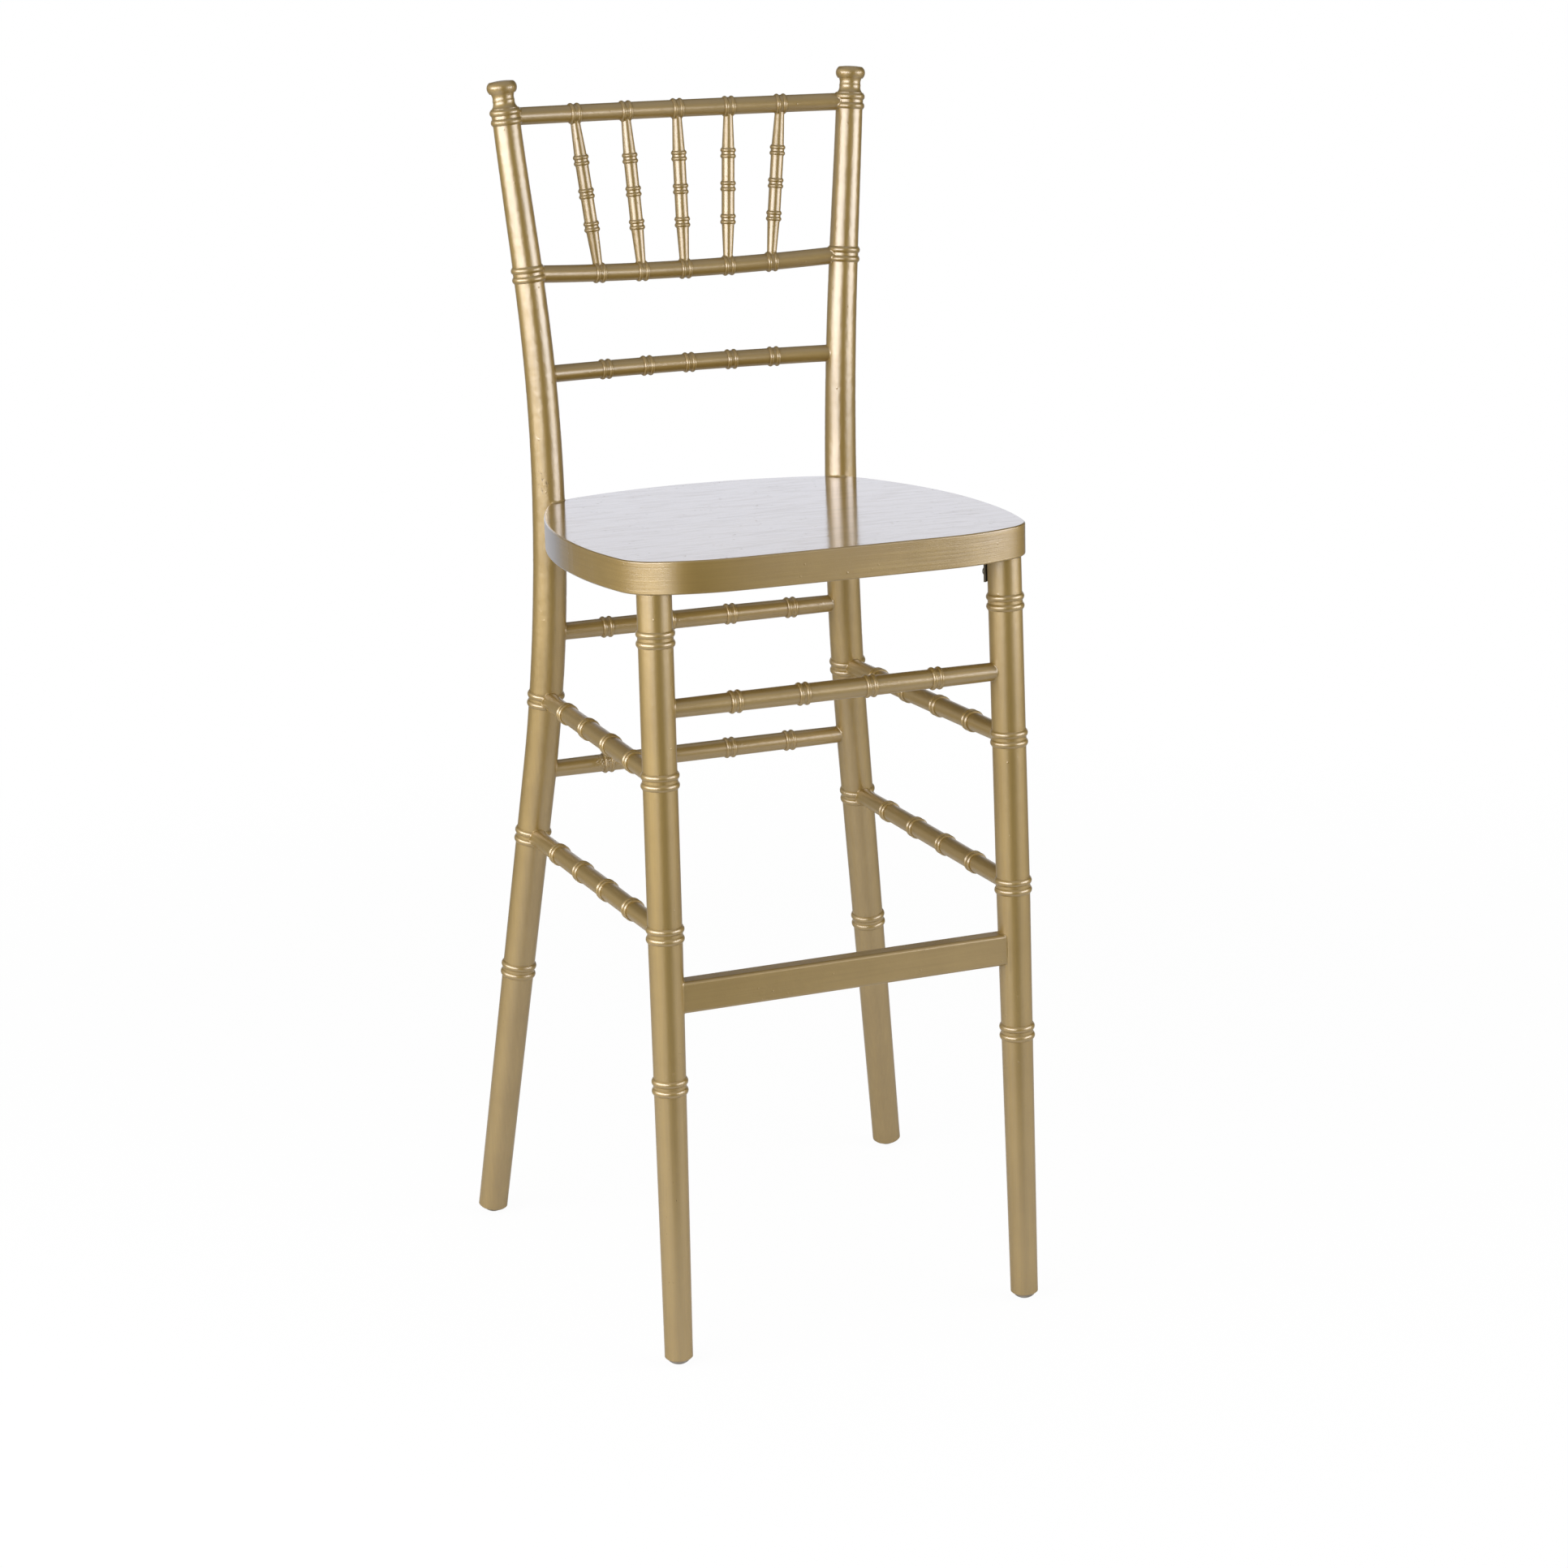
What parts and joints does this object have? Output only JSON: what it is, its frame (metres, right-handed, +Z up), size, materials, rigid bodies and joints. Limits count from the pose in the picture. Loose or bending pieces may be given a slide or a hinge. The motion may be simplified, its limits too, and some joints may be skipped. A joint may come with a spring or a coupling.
{
  "type": "chiavari bar stool",
  "caption": "Tall turned-wood bar stool with bent back posts, a spindle back, beaded stretchers, a flat foot rail and a slab seat, painted metallic gold.",
  "frame": {"origin": "middle of the footprint on the floor", "axes": "+Z up, the seat's front faces -Y, +X to the right seen from the front"},
  "size_m": [0.482, 0.4813, 1.1664],
  "materials": {
    "frame_gold": "metallic gold paint, satin gloss",
    "seat_gold": "metallic gold paint under clear gloss",
    "glide_metal": "plain pressed steel",
    "bracket_metal": "pressed steel painted over with the frame",
    "screw_metal": "zinc plated"
  },
  "bodies": {
    "root": {"rear_post_left": "frame_gold", "rear_post_right": "frame_gold", "front_leg_left": "frame_gold", "front_leg_right": "frame_gold", "top_back_rail": "frame_gold", "middle_back_rail": "frame_gold", "lower_back_rail": "frame_gold", "spindle_1": "frame_gold", "spindle_2": "frame_gold", "spindle_3": "frame_gold", "spindle_4": "frame_gold", "spindle_5": "frame_gold", "rear_stretcher_upper": "frame_gold", "rear_stretcher_lower": "frame_gold", "front_stretcher": "frame_gold", "side_stretcher_left_upper": "frame_gold", "side_stretcher_left_lower": "frame_gold", "side_stretcher_right_upper": "frame_gold", "side_stretcher_right_lower": "frame_gold", "foot_rail": "frame_gold", "seat_panel": "seat_gold", "floor_glide_rear_left": "glide_metal", "floor_glide_rear_right": "glide_metal", "floor_glide_front_left": "glide_metal", "floor_glide_front_right": "glide_metal", "front_bracket_left": "bracket_metal", "front_bracket_right": "bracket_metal", "bracket_screws": "screw_metal", "seat_screws": "screw_metal"}
  },
  "joints": []
}
